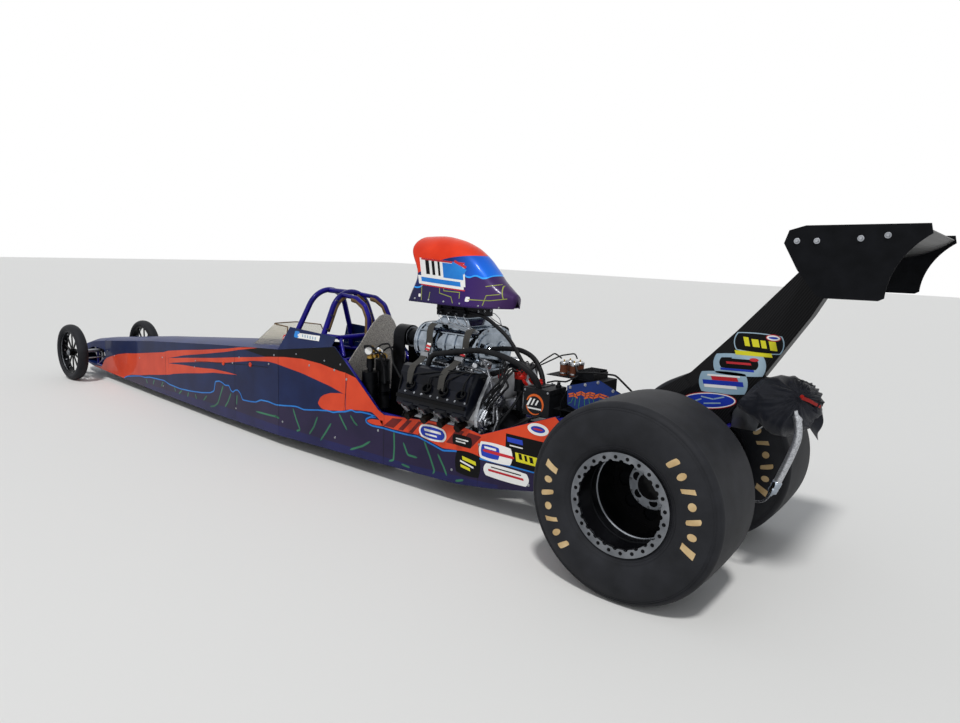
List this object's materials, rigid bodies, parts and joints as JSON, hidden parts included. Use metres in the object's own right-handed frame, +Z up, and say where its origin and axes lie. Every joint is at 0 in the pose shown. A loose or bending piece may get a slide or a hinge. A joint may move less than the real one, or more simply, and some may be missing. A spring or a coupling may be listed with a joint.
{
  "type": "drag racing car",
  "caption": "Rear-engined drag racing car: long wedge body on a tube frame, supercharged engine with air scoop, broad slicks, thin front wheels, single-pylon wing and parachute.",
  "frame": {"origin": "on the ground under the middle of the bounding box", "axes": "+X towards the nose, +Y to the driver's left, +Z up"},
  "size_m": [7.696, 1.4292, 1.606],
  "materials": {
    "body_paint": "gloss",
    "frame_paint": "gloss",
    "carbon": "gloss",
    "scoop_paint": "gloss",
    "clear": "clear",
    "black_vinyl": "matt",
    "polished": "polished",
    "aluminium": "satin",
    "cast_alloy": "cast",
    "black_anodised": "satin",
    "header_black": "matt",
    "steel": "satin",
    "slick_rubber": "matt",
    "black_fabric": "matt",
    "silver_sleeve": "woven foil",
    "black_hose": "satin",
    "black_plastic": "matt",
    "red_plastic": "gloss",
    "coil_brown": "matt"
  },
  "bodies": {
    "chassis": {"frame_front": "frame_paint", "frame_rear": "frame_paint", "roll_cage": "frame_paint", "nose_cover": "body_paint", "top_deck": "body_paint", "side_panel_left": "body_paint", "side_panel_right": "body_paint", "cockpit_panel_left": "body_paint", "cockpit_panel_right": "body_paint", "engine_panel_left": "body_paint", "engine_panel_right": "body_paint", "belly_pan": "carbon", "cowl": "body_paint", "windscreen": "clear", "seat": "black_vinyl", "blast_shield": "polished", "column_mount": "steel", "engine_block": "cast_alloy", "cylinder_heads": "cast_alloy", "valve_covers": "black_anodised", "exhaust_headers": "header_black", "intake_manifold": "cast_alloy", "blower": "polished", "blower_drive": "black_anodised", "injector_adapter": "aluminium", "scoop": "scoop_paint", "bellhousing": "cast_alloy", "transmission": "black_anodised", "rear_axle_housing": "steel", "front_axle": "black_anodised", "wing_element": "carbon", "wing_pylon": "carbon", "wing_end_plates": "carbon", "chute_pack": "black_fabric", "chute_bracket": "aluminium", "gas_bottle": "polished", "canister": "black_plastic", "tank_brackets": "aluminium", "battery_box": "black_plastic", "coil_packs": "coil_brown", "rear_cover": "body_paint", "magneto": "red_plastic", "engine_hoses": "black_hose", "chute_tether": "silver_sleeve"},
    "rear_wheels": {"rear_tyre_left": "slick_rubber", "rear_tyre_right": "slick_rubber", "rear_wheel_left": "black_anodised", "rear_wheel_right": "black_anodised", "bead_rings": "polished", "axle_shafts": "steel", "brake_discs": "steel"},
    "left_knuckle": {"knuckle_left": "steel"},
    "right_knuckle": {"knuckle_right": "steel"},
    "left_front_wheel": {"front_tyre_left": "slick_rubber", "front_rim_left": "black_anodised"},
    "right_front_wheel": {"front_tyre_right": "slick_rubber", "front_rim_right": "black_anodised"},
    "tie_rod": {"tie_rod": "steel"},
    "steering_wheel": {"steering_wheel": "black_anodised"}
  },
  "joints": [
    {"name": "rear_wheels_spin", "type": "hinge", "parent": "chassis", "child": "rear_wheels", "pos_m": [-2.902, 0, 0.438], "axis": [0, 1, 0], "continuous": true},
    {"name": "steer_left", "type": "hinge", "parent": "chassis", "child": "left_knuckle", "pos_m": [3.298, 0.292, 0.279], "axis": [-0.2588, 0, 0.9659], "range_deg": [-20, 20]},
    {"name": "steer_right", "type": "hinge", "parent": "chassis", "child": "right_knuckle", "pos_m": [3.298, -0.292, 0.279], "axis": [-0.2588, 0, 0.9659], "range_deg": [-20, 20]},
    {"name": "front_left_spin", "type": "hinge", "parent": "left_knuckle", "child": "left_front_wheel", "pos_m": [3.298, 0.361, 0.279], "axis": [0, 1, 0], "continuous": true},
    {"name": "front_right_spin", "type": "hinge", "parent": "right_knuckle", "child": "right_front_wheel", "pos_m": [3.298, -0.361, 0.279], "axis": [0, 1, 0], "continuous": true},
    {"name": "tie_rod_swing", "type": "hinge", "parent": "left_knuckle", "child": "tie_rod", "pos_m": [3.20494, 0.292, 0.22062], "axis": [-0.2588, 0, 0.9659], "range_deg": [-20, 20]},
    {"name": "steering_wheel_turn", "type": "hinge", "parent": "chassis", "child": "steering_wheel", "pos_m": [-0.122, 0, 0.64], "axis": [-0.9397, 0, 0.342], "range_deg": [-100, 100]}
  ],
  "couplings": [
    {"joint": "steer_right", "follows": "steer_left", "ratio": 1},
    {"joint": "tie_rod_swing", "follows": "steer_left", "ratio": -1},
    {"joint": "steering_wheel_turn", "follows": "steer_left", "ratio": 5}
  ]
}
